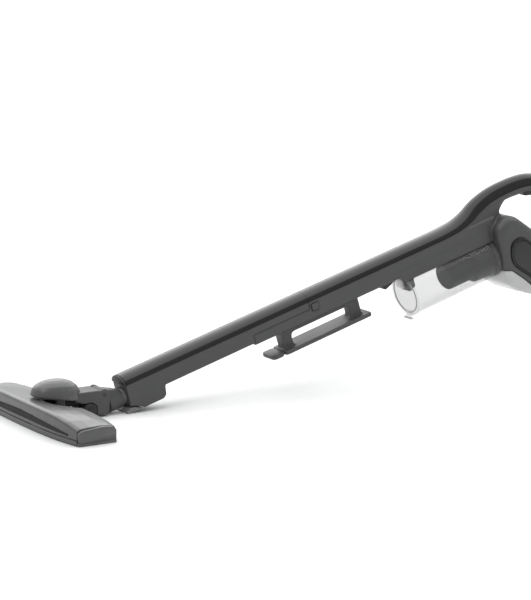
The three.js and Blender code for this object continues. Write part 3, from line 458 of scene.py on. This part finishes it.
def paint_node(node):
    """Gives a CAD node its finish and its shading, with its shape left as it is."""
    mesh = nodes[node].data
    mesh.materials.clear()
    mesh.materials.append(materials[slot_of_node[node]])
    mesh.shade_smooth()
    mesh.set_sharp_from_angle(angle=SHARP_ANGLE)


# ------------------------------------------------------------------------------------- the two glossy caps
CAP_HALF = 22.5
CAP_RISE = 14.0
CAP_WALL = 2.4
CAP_LIFT = 0.15                                      # keeps the skin off the side walls below it
END_ROUND = 0.5                                      # how much smaller the first and last ring are
END_SHIFT = 0.1
TUBE_CAP_ENDS = (-8.5, 355.6)
HAND_CAP_START = 356.0
# The seam's path along the handle as (u, v), from where it leaves the straight to where it meets the pod.
HANDLE_PATH = [
    (640, 0), (668, 0.6), (692, 2.5), (717, 8.5), (744, 20), (772, 26.5), (800, 28.5), (830, 28), (858, 23.5),
    (882, 12), (900, -6), (911, -30), (913, -56), (906, -83), (892, -106), (876, -122),
]
HANDLE_END = 0.985                                   # the share of the path that the cap covers
GRIP_HALF = 17.0
GRIP_START = 0.42                                    # the share of the path where the cap has its grip width
SWELL = 5.0                                          # the cap's extra height, reached at SWELL_END
SWELL_END = 0.4
DROOP = 2.5                                          # what it loses again from DROOP_START on
DROOP_START = 0.5
LOOK = 0.004                                         # how far either side the path's course is taken


def smoothstep(x):
    """0 below 0, 1 above 1, and an even rise between them."""
    x = min(max(x, 0.0), 1.0)
    return x * x * (3 - 2 * x)


def centripetal(points, per_span=16):
    """A centripetal Catmull-Rom curve through the points, as many short steps."""
    known = [np.array(p, float) for p in points]
    known = [2 * known[0] - known[1], *known, 2 * known[-1] - known[-2]]
    curve = []
    for p0, p1, p2, p3 in zip(known, known[1:], known[2:], known[3:]):
        t0 = 0.0
        t1 = t0 + np.linalg.norm(p1 - p0) ** 0.5
        t2 = t1 + np.linalg.norm(p2 - p1) ** 0.5
        t3 = t2 + np.linalg.norm(p3 - p2) ** 0.5
        for t in np.linspace(t1, t2, per_span, endpoint=False):
            a1 = (t1 - t) / (t1 - t0) * p0 + (t - t0) / (t1 - t0) * p1
            a2 = (t2 - t) / (t2 - t1) * p1 + (t - t1) / (t2 - t1) * p2
            a3 = (t3 - t) / (t3 - t2) * p2 + (t - t2) / (t3 - t2) * p3
            b1 = (t2 - t) / (t2 - t0) * a1 + (t - t0) / (t2 - t0) * a2
            b2 = (t3 - t) / (t3 - t1) * a2 + (t - t1) / (t3 - t1) * a3
            curve.append((t2 - t) / (t2 - t1) * b1 + (t - t1) / (t2 - t1) * b2)
    curve.append(known[-2])
    return np.array(curve)


def handle_stations(count=110):
    """Places along the handle: (u, v), the unit vector square to it, the cap's half width and height."""
    curve = centripetal(HANDLE_PATH)
    steps = np.linalg.norm(np.diff(curve, axis=0), axis=1)
    reach = np.concatenate([[0.0], np.cumsum(steps)]) / steps.sum()
    found = []
    for i in range(1, count + 1):
        t = HANDLE_END * i / count
        place = [np.interp(t, reach, curve[:, axis]) for axis in (0, 1)]
        ahead = [np.interp(min(t + LOOK, 1.0), reach, curve[:, axis]) for axis in (0, 1)]
        behind = [np.interp(t - LOOK, reach, curve[:, axis]) for axis in (0, 1)]
        along = np.array(ahead) - np.array(behind)
        along /= np.linalg.norm(along)
        half = CAP_HALF + (GRIP_HALF - CAP_HALF) * smoothstep(t / GRIP_START)
        swell = SWELL * smoothstep(t / SWELL_END)
        droop = DROOP * smoothstep((t - DROOP_START) / (1 - DROOP_START))
        rise = CAP_RISE + swell - droop
        found.append((place, (-along[1], along[0]), half, rise))
    return found


def straight_stations(start, end, count):
    """The same kind of places as handle_stations gives, along the straight."""
    return [((u, 0.0), (0.0, 1.0), CAP_HALF, CAP_RISE) for u in np.linspace(start, end, count)]


def dome_sweep(name, stations, body, slot, replaced, around=40):
    """A glossy D-shaped skin of even thickness swept through the stations."""
    tips = (stations[0], stations[-1])
    first, last = [(place, up, half - END_ROUND, rise - END_ROUND) for place, up, half, rise in tips]
    rows = [(first, -END_SHIFT), *((station, 0.0) for station in stations), (last, END_SHIFT)]
    work = bmesh.new()
    rings = []
    for (place, up, half, rise), shift in rows:
        ring = []
        for inset, order in ((0.0, range(around + 1)), (CAP_WALL, range(around, -1, -1))):
            for step in order:
                angle = math.pi * step / around
                out = (rise - inset) * math.sin(angle) + CAP_LIFT
                u = place[0] + up[0] * out + shift * up[1]
                v = place[1] + up[1] * out - shift * up[0]
                ring.append(work.verts.new(stick(u, v, (half - inset) * math.cos(angle))))
        rings.append(ring)
    for here, there in zip(rings, rings[1:]):
        for i in range(len(here)):
            after = (i + 1) % len(here)
            work.faces.new((here[i], here[after], there[after], there[i]))
    for ring in (rings[0], rings[-1]):
        for i in range(around):
            work.faces.new((ring[i], ring[i + 1], ring[-2 - i], ring[-1 - i]))
    bmesh.ops.recalc_face_normals(work, faces=work.faces)
    mesh = bpy.data.meshes.new(name)
    work.to_mesh(mesh)
    work.free()
    mesh.shade_smooth()
    mesh.set_sharp_from_angle(angle=SWEPT_SHARP_ANGLE)
    piece(name, mesh, body, slot, *replaced)


def make_caps():
    tube = straight_stations(*TUBE_CAP_ENDS, 40)
    dome_sweep("tube_cap_gloss", tube, "tube", "gloss_black", ["tube_cap"])
    hand = straight_stations(HAND_CAP_START, HANDLE_PATH[0][0], 30) + handle_stations()
    dome_sweep("hand_cap_gloss", hand, "hand_unit", "gloss_black", ["hand_cap"])


# -------------------------------------------------------------------------------------------- the whole scene
# Each smoothed piece: the CAD nodes that it is made from, its grid in millimetres, and its smoothing passes.
SOFTENED = {
    "hand_body": (["hand_shell_left", "hand_shell_right"], 1.1, 18),
    "tube_body": (["tube_shell"], 1.1, 5),
    "head_top": (["head_cover"], 0.9, 14),
    "neck_body": (["neck_shell"], 0.8, 5),
    "hood_top": (["hood"], 0.8, 40),
    "knuckle_body": (["knuckle"], 0.8, 5),
    "winder_body": (["cord_winder"], 0.8, 5),
    "exhaust_lobe": (["exhaust_cover"], 0.9, 8),
    "release_corner": (["head_release_button"], 0.7, 6),
}
# The slot cut again in a smoothed piece: the button that moves in it, and the button's travel.
POCKETS = {"hand_body": ("power_trigger", 4.0)}
EASED = [
    "end_cap_left", "end_cap_right", "cord_hook", "vent_cover_left", "vent_cover_right",
    "cup_release_button", "lid_latch", "power_trigger", "tube_end_cap", "vent_ring_left", "vent_ring_right",
    "inlet_duct", "coupler", "rear_wheel_left", "rear_wheel_right", "filter_cage", "sole_plate",
]

make_camera()
materials = make_materials()
make_studio()
make_floor()
make_caps()
for made, (sources, voxel, passes) in SOFTENED.items():
    softened(made, sources, voxel, passes)
for node in EASED:
    eased(node)
for node in nodes:
    paint_node(node)
